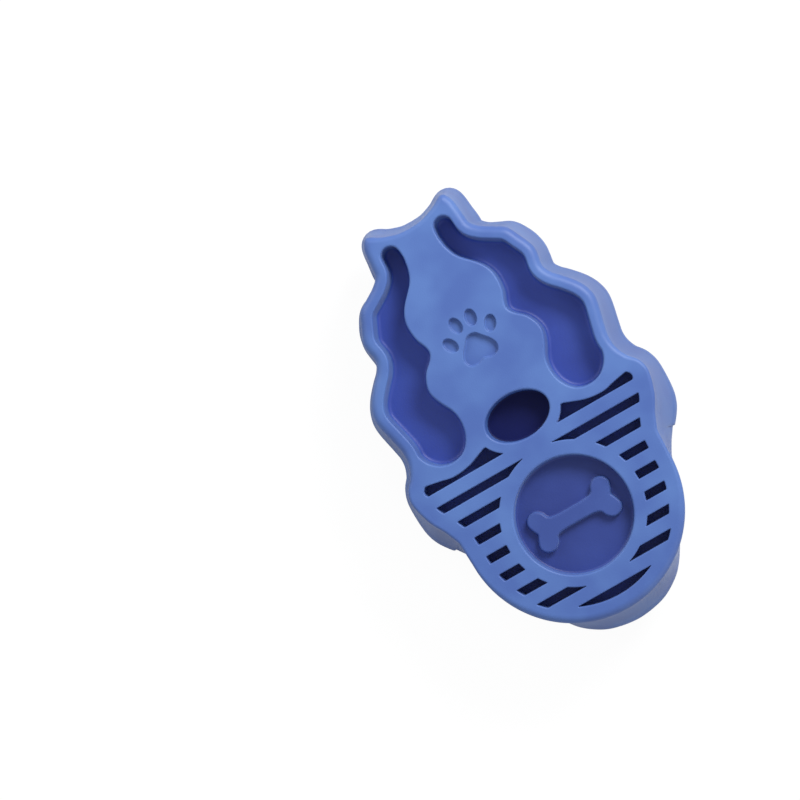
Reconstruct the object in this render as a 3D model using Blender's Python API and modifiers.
"""Rubber curry brush: one flexible moulding with a scalloped skirt, a slotted deck and conical teeth.

The brush lies on its tooth tips, deck up.  Z is up and Y runs along the brush, from the round end (-Y) to the
horned end (+Y).  Plan shapes are drawn from the centre of the round end, and the whole brush then hangs from
an empty that brings the middle of its footprint to the world origin.  Every length is in metres.

The moulding is split into the regions that a mould maker would name.  Regions that lie on each other share a
flat face, and regions that stand beside each other keep FIT_GAP.
"""

import math

import bpy
import bmesh
import numpy as np

# ---------------------------------------------------------------- heights
TOOTH_LENGTH = 0.0220
WEB_THICKNESS = 0.0030
POCKET_DEPTH = 0.0070
RIM_HEIGHT = 0.0090          # free edge of the skirt above the tooth tips
MEDALLION_DEPTH = 0.0045
OVAL_DEPTH = 0.0060

# ---------------------------------------------------------------- plan of the deck
END_RADIUS = 0.0277          # round end
END_CENTRE_Y = 0.0012
SCALLOPS = [                 # one side of the deck, from the waist to the middle of the notch
    (0.0280, 0.0078), (0.0297, 0.0118), (0.0319, 0.0159), (0.0334, 0.0216), (0.0326, 0.0250),
    (0.0306, 0.0275), (0.0293, 0.0306), (0.0291, 0.0338), (0.0297, 0.0368), (0.0311, 0.0429),
    (0.0308, 0.0461), (0.0294, 0.0490), (0.0270, 0.0520), (0.0248, 0.0544), (0.0237, 0.0569),
    (0.0242, 0.0600), (0.0241, 0.0625), (0.0225, 0.0662), (0.0208, 0.0694), (0.0183, 0.0711),
    (0.0153, 0.0730), (0.0134, 0.0750), (0.0131, 0.0775), (0.0125, 0.0821), (0.0107, 0.0845),
    (0.0074, 0.0828), (0.0034, 0.0814), (0.0, 0.0811)]
ISLAND_SIDE = [              # inner side of a finger pocket, from its tip to its round bottom
    (0.0062, 0.0815), (0.0052, 0.0785), (0.0050, 0.0750), (0.0056, 0.0718), (0.0070, 0.0690),
    (0.0109, 0.0647), (0.0125, 0.0610), (0.0123, 0.0566), (0.0112, 0.0538), (0.0110, 0.0518),
    (0.0121, 0.0501), (0.0143, 0.0480), (0.0157, 0.0451), (0.0158, 0.0426), (0.0147, 0.0397),
    (0.0132, 0.0368), (0.0127, 0.0338), (0.0132, 0.0306), (0.0147, 0.0279), (0.0168, 0.0263),
    (0.0196, 0.0258), (0.0222, 0.0264), (0.0242, 0.0279), (0.0264, 0.0310)]
NECK_Y = 0.0343              # where the tongue meets the round end's plate

# ---------------------------------------------------------------- skirt
BORDER = 0.0032              # top of the skirt, around the pockets
RIM_WALL = 0.0024            # free edge of the skirt
RIM_OUT = [                  # share of the way from the foot to the notch, and how far the rim stands out there
    (0.0, 0.0042), (0.05, 0.0038), (0.09, 0.0024), (0.13, 0.0), (0.18, -0.0020), (0.23, -0.0024),
    (0.28, -0.0010), (0.315, 0.0016), (0.335, 0.0037), (0.36, 0.0048), (0.38, 0.0050), (0.41, 0.0040),
    (0.44, 0.0029), (0.50, 0.0032), (0.60, 0.0028), (0.69, 0.0024), (0.725, 0.0019), (0.76, 0.0030),
    (0.80, 0.0025), (0.83, 0.0020), (0.87, 0.0024), (0.895, 0.0021), (0.92, 0.0035), (0.96, 0.0036),
    (1.0, 0.0034)]
FLARE_POWER = 1.5            # how much of the flare lies near the rim
EDGE_ROUND = 0.0008

# ---------------------------------------------------------------- round end
MEDALLION_RADIUS = 0.0147
RING_RADIUS = 0.0181         # where the slots end, around RING_Y
RING_Y = 0.0004
OVAL_Y = 0.0278
OVAL_HALF = (0.0085, 0.0058)
OVAL_RING = 0.0027
SLOT_HEIGHT = 0.0022
SLOT_PITCH = 0.00544
SLOT_TOP_Y = 0.0181
SLOT_MARGIN = 0.0038         # from the ends of the slots to the edge of the deck
CORNER_SLOT = [              # the wide slot under a finger pocket, from the ring round to the edge
    (0.0050, 0.0215), (0.0340, 0.0215), (0.0340, 0.0232), (0.0282, 0.0241), (0.0245, 0.0233),
    (0.0210, 0.0226), (0.0165, 0.0231), (0.0113, 0.0254), (0.0050, 0.0270)]

# ---------------------------------------------------------------- teeth
TOOTH_RADIUS = 0.0044
TIP_RADIUS = 0.00095
ROOT_FILLET = 0.0012
DIMPLE_RADIUS = 0.00045
DIMPLE_DEPTH = 0.0005
COLUMN_PITCH = 0.0120
TOOTH_PITCH = 0.0158
FIRST_TOOTH_Y = -0.0182
ROOT_SHARE = 0.45            # least part of a root's radius that the floor has to carry

FIT_GAP = 0.0003
OVERSHOOT = 0.0010           # how far a cutter runs past what it cuts

# ---------------------------------------------------------------- levels, from the tooth tips up
WEB_Z = TOOTH_LENGTH
PLATE_Z = WEB_Z + WEB_THICKNESS
TOP_Z = PLATE_Z + POCKET_DEPTH

# ---------------------------------------------------------------- how finely curves are drawn
LOOP_POINTS = 90             # points on half an outline
FINE_STEPS = 4               # finer points between two of those, for measuring
CURVE_STEPS = 4              # points between two neighbours of a drawn list
TOOTH_SIDES = 16
ROUND_SIDES = 64

RUBBER_BLUE = (0.115, 0.190, 0.560, 1.0)


# ================================================================ outlines
def smooth(points):
    """Return a Catmull-Rom curve through the points, CURVE_STEPS points to a span."""
    p = np.vstack([2 * np.array(points[0]) - points[1], points, 2 * np.array(points[-1]) - points[-2]])
    curve = []
    for a, b, c, d in zip(p, p[1:], p[2:], p[3:]):
        for t in np.linspace(0, 1, CURVE_STEPS, endpoint=False):
            curve.append(0.5 * (2 * b + (c - a) * t + (2 * a - 5 * b + 4 * c - d) * t ** 2
                                + (3 * b - a - 3 * c + d) * t ** 3))
    curve.append(p[-2])
    return np.array(curve)


def evenly(line, count):
    """Return count points spaced evenly along a line."""
    run = np.append(0, np.cumsum(np.hypot(*np.diff(line, axis=0).T)))
    at = np.linspace(0, run[-1], count)
    return np.column_stack([np.interp(at, run, line[:, 0]), np.interp(at, run, line[:, 1])])


def deck_half():
    """Return the +X half of the deck's outline, from the round end's foot to the notch."""
    angles = np.linspace(-math.pi / 2, 0, ROUND_SIDES // 4)
    arc = [(END_RADIUS * math.cos(a), END_CENTRE_Y + END_RADIUS * math.sin(a)) for a in angles]
    return evenly(np.vstack([arc, smooth(SCALLOPS)]), FINE_STEPS * (LOOP_POINTS - 1) + 1)


def shifted(half, distance):
    """Return a half outline moved out by distance, one value or one for each point.

    Points that end up nearer to the outline than they were moved lie in a fold.  They go onto the straight line
    across it, so that every point still belongs to its point of the outline.
    """
    distance = np.broadcast_to(distance, len(half))
    outline = np.vstack([half, half[::-1] * (-1, 1)])
    along = np.gradient(half, axis=0)
    along[[0, -1]] = (1, 0), (-1, 0)
    along /= np.hypot(*along.T)[:, None]
    moved = half + distance[:, None] * np.column_stack([along[:, 1], -along[:, 0]])
    reach = np.hypot(*(moved[:, None] - outline[None]).transpose(2, 0, 1)).min(axis=1)
    kept = (reach > 0.97 * abs(distance)) & (moved[:, 0] > -1e-9)
    kept[[0, -1]] = True
    moved[[0, -1], 0] = 0.0
    at = np.arange(len(half))
    return np.column_stack([np.interp(at, at[kept], moved[kept, 0]), np.interp(at, at[kept], moved[kept, 1])])


def rim_half(inward=0.0):
    """Return half the rim's outline, or a line that runs a distance inside it."""
    half = deck_half()
    return shifted(half, np.interp(np.linspace(0, 1, len(half)), *np.transpose(RIM_OUT)) - inward)


def whole(half):
    """Return a half outline and its twin as one, anticlockwise from the round end's foot."""
    return np.vstack([half, (half[::-1] * (-1, 1))[1:-1]])


def matched(half):
    """Return the whole outline with each point where its point of the deck's outline is, for a skin."""
    return whole(half[::FINE_STEPS])


def closed(half):
    """Return the whole outline with its points evenly spaced, for a flat piece."""
    return whole(evenly(half, LOOP_POINTS))


def mirrored(points):
    """Return a closed outline's twin on the other side, still anticlockwise."""
    return np.array(points)[::-1] * (-1, 1)


def ellipse(centre_y, half_x, half_y):
    angles = np.linspace(0, 2 * math.pi, ROUND_SIDES, endpoint=False)
    return np.column_stack([half_x * np.cos(angles), centre_y + half_y * np.sin(angles)])


# ================================================================ solids
def linked(mesh, name, collection):
    obj = bpy.data.objects.new(name, mesh)
    collection.objects.link(obj)
    obj.parent = bpy.data.objects["brush_centre"]
    return obj


def prism(name, outlines, bottom, top, collection):
    """Extrude one or more flat outlines between two heights."""
    curve = bpy.data.curves.new(name, "CURVE")
    curve.dimensions = "2D"
    curve.fill_mode = "BOTH"
    curve.extrude = (top - bottom) / 2
    for outline in outlines:
        spline = curve.splines.new("POLY")
        spline.points.add(len(outline) - 1)
        spline.points.foreach_set("co", [v for x, y in outline for v in (x, y, 0.0, 1.0)])
        spline.use_cyclic_u = True
    sketch = linked(curve, name, collection)
    mesh = bpy.data.meshes.new_from_object(sketch)
    bpy.data.objects.remove(sketch)
    bpy.data.curves.remove(curve)
    mesh.name = name
    welded(mesh)
    obj = linked(mesh, name, collection)
    obj.location.z = (top + bottom) / 2
    return obj


def welded(mesh):
    bm = bmesh.new()
    bm.from_mesh(mesh)
    bmesh.ops.remove_doubles(bm, verts=bm.verts, dist=1e-6)
    bmesh.ops.recalc_face_normals(bm, faces=bm.faces)
    bm.to_mesh(mesh)
    bm.free()


def loft(name, sections, collection):
    """Skin closed outlines, each given with its height, from the lowest to the highest."""
    count = len(sections[0][1])
    verts = [(x, y, z) for z, outline in sections for x, y in outline]
    faces = [tuple(range(count))[::-1], tuple(range(len(verts) - count, len(verts)))]
    for level in range(len(sections) - 1):
        for i in range(count):
            a, b = level * count + i, level * count + (i + 1) % count
            faces.append((a, b, b + count, a + count))
    mesh = bpy.data.meshes.new(name)
    mesh.from_pydata(verts, [], faces)
    return linked(mesh, name, collection)


def cut(obj, tool, operation="DIFFERENCE"):
    modifier = obj.modifiers.new(tool.name, "BOOLEAN")
    modifier.operation = operation
    modifier.object = tool


def as_tool(obj):
    obj.hide_render = True
    obj.display_type = "WIRE"
    return obj


# ================================================================ cutters
def make_hollow(tools):
    """Make the space inside the skirt: straight beside the deck, flared below the floor."""
    inside = matched(shifted(deck_half(), -BORDER))
    mouth = matched(rim_half(RIM_WALL))
    return as_tool(loft("hollow", [(RIM_HEIGHT - OVERSHOOT, mouth), (WEB_Z, inside),
                                   (TOP_Z + OVERSHOOT, inside)], tools))


def make_tooth_field(tools):
    """Make the same space below the floor, FIT_GAP smaller, which trims the outer teeth."""
    inside = matched(shifted(deck_half(), -BORDER - FIT_GAP))
    mouth = matched(rim_half(RIM_WALL + FIT_GAP))
    return as_tool(loft("tooth_field", [(-OVERSHOOT, mouth), (RIM_HEIGHT, mouth),
                                        (WEB_Z, inside), (WEB_Z + OVERSHOOT, inside)], tools))


def make_pockets(tools):
    """Make both finger pockets: the tongue's side drawn, the skirt's side left to the skirt."""
    beyond = 2 * END_RADIUS
    side = smooth(ISLAND_SIDE)
    outline = np.vstack([side, [(beyond, side[-1, 1] + FIT_GAP), (beyond, side[0, 1] + END_RADIUS),
                                (side[0, 0], side[0, 1] + END_RADIUS)]])
    return as_tool(prism("pockets", [outline, mirrored(outline)], PLATE_Z - OVERSHOOT,
                         TOP_Z + OVERSHOOT, tools))


def make_slots(tools):
    """Make the rows of slots, kept off the ring, the oval and the edge of the deck."""
    beyond = 2 * END_RADIUS
    low, high = PLATE_Z - OVERSHOOT, TOP_Z + OVERSHOOT
    rows = []
    top = SLOT_TOP_Y
    lowest = END_CENTRE_Y - END_RADIUS + SLOT_MARGIN
    while top > lowest:
        bottom = top - SLOT_HEIGHT if top - 1.5 * SLOT_HEIGHT > lowest else -beyond
        rows.append([(-beyond, bottom), (beyond, bottom), (beyond, top), (-beyond, top)])
        top -= SLOT_PITCH
    slots = prism("slots", rows + [CORNER_SLOT, mirrored(CORNER_SLOT)], low, high, tools)
    field = prism("slot_field", [closed(shifted(deck_half(), -SLOT_MARGIN))], low - OVERSHOOT,
                  high + OVERSHOOT, tools)
    ring = prism("ring_area", [ellipse(RING_Y, RING_RADIUS, RING_RADIUS)], low - OVERSHOOT, high + OVERSHOOT, tools)
    oval = prism("oval_area", [ellipse(OVAL_Y, OVAL_HALF[0] + OVAL_RING, OVAL_HALF[1] + OVAL_RING)],
                 low - OVERSHOOT, high + OVERSHOOT, tools)
    cut(slots, as_tool(field), "INTERSECT")
    cut(slots, as_tool(ring))
    cut(slots, as_tool(oval))
    return as_tool(slots)


# ================================================================ regions of the moulding
def make_skirt(parts, hollow):
    """Make the outer wall: a solid of flared sections with its hollow cut out."""
    deck = matched(deck_half())
    rim = matched(rim_half())
    sections = []
    for share in (0.0, 0.15, 0.35, 0.6, 0.8, 1.0):
        height = RIM_HEIGHT + share * (TOP_Z - EDGE_ROUND - RIM_HEIGHT)
        sections.append((height, deck + (rim - deck) * (1 - share) ** FLARE_POWER))
    for turn in (30, 60, 90):
        angle = math.radians(turn)
        inset = EDGE_ROUND * (1 - math.cos(angle))
        sections.append((TOP_Z - EDGE_ROUND * (1 - math.sin(angle)), matched(shifted(deck_half(), -inset))))
    skirt = loft("skirt", sections, parts)
    cut(skirt, hollow)
    return skirt


def make_web(parts):
    """Make the floor sheet that closes the pockets and slots, and carries the teeth."""
    return prism("base_web", [closed(shifted(deck_half(), -BORDER - FIT_GAP))], WEB_Z, PLATE_Z, parts)


def make_plate_blank(name, parts, low_y, high_y):
    """Make the deck's raised layer between two stations along the brush."""
    blank = prism(name, [closed(shifted(deck_half(), -BORDER - FIT_GAP))], PLATE_Z, TOP_Z, parts)
    reach = 2 * END_RADIUS
    window = prism(name + "_window", [[(-reach, low_y), (reach, low_y), (reach, high_y), (-reach, high_y)]],
                   PLATE_Z - OVERSHOOT, TOP_Z + OVERSHOOT, bpy.data.collections["cutters"])
    cut(blank, as_tool(window), "INTERSECT")
    return blank


def make_island(parts, pockets):
    """Make the tongue between the finger pockets."""
    island = make_plate_blank("grip_island", parts, NECK_Y, 4 * END_RADIUS)
    cut(island, pockets)
    return island


def make_grille(parts, pockets, slots, tools):
    """Make the round end's plate: ring, bars, and the neck that reaches the tongue."""
    grille = make_plate_blank("grille_plate", parts, -2 * END_RADIUS, NECK_Y)
    low, high = PLATE_Z - OVERSHOOT, TOP_Z + OVERSHOOT
    windows = prism("panel_windows", [ellipse(0, MEDALLION_RADIUS, MEDALLION_RADIUS),
                                      ellipse(OVAL_Y, *OVAL_HALF)], low, high, tools)
    cut(grille, pockets)
    cut(grille, slots)
    cut(grille, as_tool(windows))
    return grille


def make_panels(parts):
    """Make the sunk panels inside the ring and the oval, which lie on the floor sheet."""
    radius = MEDALLION_RADIUS - FIT_GAP
    prism("medallion_panel", [ellipse(0, radius, radius)], PLATE_Z, TOP_Z - MEDALLION_DEPTH, parts)
    prism("oval_panel", [ellipse(OVAL_Y, OVAL_HALF[0] - FIT_GAP, OVAL_HALF[1] - FIT_GAP)],
          PLATE_Z, TOP_Z - OVAL_DEPTH, parts)


def tooth_profile():
    """Return the outer line of a tooth from its root's centre to the bottom of its dimple."""
    slope = (TOOTH_RADIUS - TIP_RADIUS) / (TOOTH_LENGTH - ROOT_FILLET)
    fillet = []
    for turn in (0, 50, 90):
        angle = math.radians(turn)
        fillet.append((TOOTH_RADIUS + ROOT_FILLET * (1 - math.sin(angle)),
                       TOOTH_LENGTH - ROOT_FILLET * (1 - math.cos(angle))))
    middle = (TOOTH_RADIUS - slope * TOOTH_LENGTH / 2 + ROOT_FILLET / 4, TOOTH_LENGTH / 2)
    tip = [(TIP_RADIUS, 0.0), (DIMPLE_RADIUS, 0.0), (DIMPLE_RADIUS, DIMPLE_DEPTH), (0.0, DIMPLE_DEPTH)]
    return [(0.0, TOOTH_LENGTH)] + fillet + [middle] + tip


def tooth_places():
    """Return the teeth's centres: staggered columns, kept where the floor carries the root."""
    edge = closed(shifted(deck_half(), -BORDER - FIT_GAP))
    columns = int(END_RADIUS / COLUMN_PITCH) + 1
    places = []
    for column in range(-columns, columns + 1):
        y = FIRST_TOOTH_Y + (column % 2) * TOOTH_PITCH / 2
        while y < edge[:, 1].max():
            centre = np.array([column * COLUMN_PITCH, y])
            if is_inside(centre, edge) and np.hypot(*(edge - centre).T).min() > ROOT_SHARE * TOOTH_RADIUS:
                places.append(centre)
            y += TOOTH_PITCH
    return places


def is_inside(point, outline):
    """Tell whether a point lies in a closed outline, by counting the sides above it."""
    x0, y0 = outline.T
    x1, y1 = np.roll(outline, -1, axis=0).T
    spans = (x0 <= point[0]) != (x1 <= point[0])
    heights = y0[spans] + (point[0] - x0[spans]) * (y1 - y0)[spans] / (x1 - x0)[spans]
    return bool((heights > point[1]).sum() % 2)


def make_teeth(parts, field):
    """Turn one tooth and stand a copy at every place, trimmed where its root meets the skirt."""
    profile = tooth_profile()
    edge = closed(shifted(deck_half(), -BORDER - FIT_GAP))
    for number, centre in enumerate(tooth_places(), start=1):
        name = f"tooth_{number:02d}"
        mesh = bpy.data.meshes.new(name)
        mesh.from_pydata([(r, 0.0, z) for r, z in profile], [(i, i + 1) for i in range(len(profile) - 1)], [])
        tooth = linked(mesh, name, parts)
        tooth.location = (centre[0], centre[1], 0.0)
        screw = tooth.modifiers.new("turned", "SCREW")
        screw.steps = screw.render_steps = TOOTH_SIDES
        screw.use_merge_vertices = True
        screw.merge_threshold = 1e-5
        if np.hypot(*(edge - centre).T).min() < TOOTH_RADIUS + ROOT_FILLET:
            cut(tooth, field, "INTERSECT")


# ================================================================ the brush
def rubber():
    material = bpy.data.materials.new("blue_rubber")
    material.use_nodes = True
    shader = material.node_tree.nodes["Principled BSDF"]
    shader.inputs["Base Color"].default_value = RUBBER_BLUE
    shader.inputs["Roughness"].default_value = 0.55
    shader.inputs["Metallic"].default_value = 0.0
    return material


def new_collection(name):
    collection = bpy.data.collections.new(name)
    bpy.context.scene.collection.children.link(collection)
    return collection


def main():
    for obj in list(bpy.data.objects):
        bpy.data.objects.remove(obj)
    parts = new_collection("curry_brush")
    tools = new_collection("cutters")
    centre = bpy.data.objects.new("brush_centre", None)
    parts.objects.link(centre)
    rim = rim_half()
    centre.location.y = -(rim[:, 1].min() + rim[:, 1].max()) / 2

    hollow = make_hollow(tools)
    pockets = make_pockets(tools)
    slots = make_slots(tools)
    make_skirt(parts, hollow)
    make_web(parts)
    make_island(parts, pockets)
    make_grille(parts, pockets, slots, tools)
    make_panels(parts)
    make_teeth(parts, make_tooth_field(tools))

    material = rubber()
    for obj in parts.objects:
        if obj.type == "MESH":
            obj.data.materials.append(material)


main()
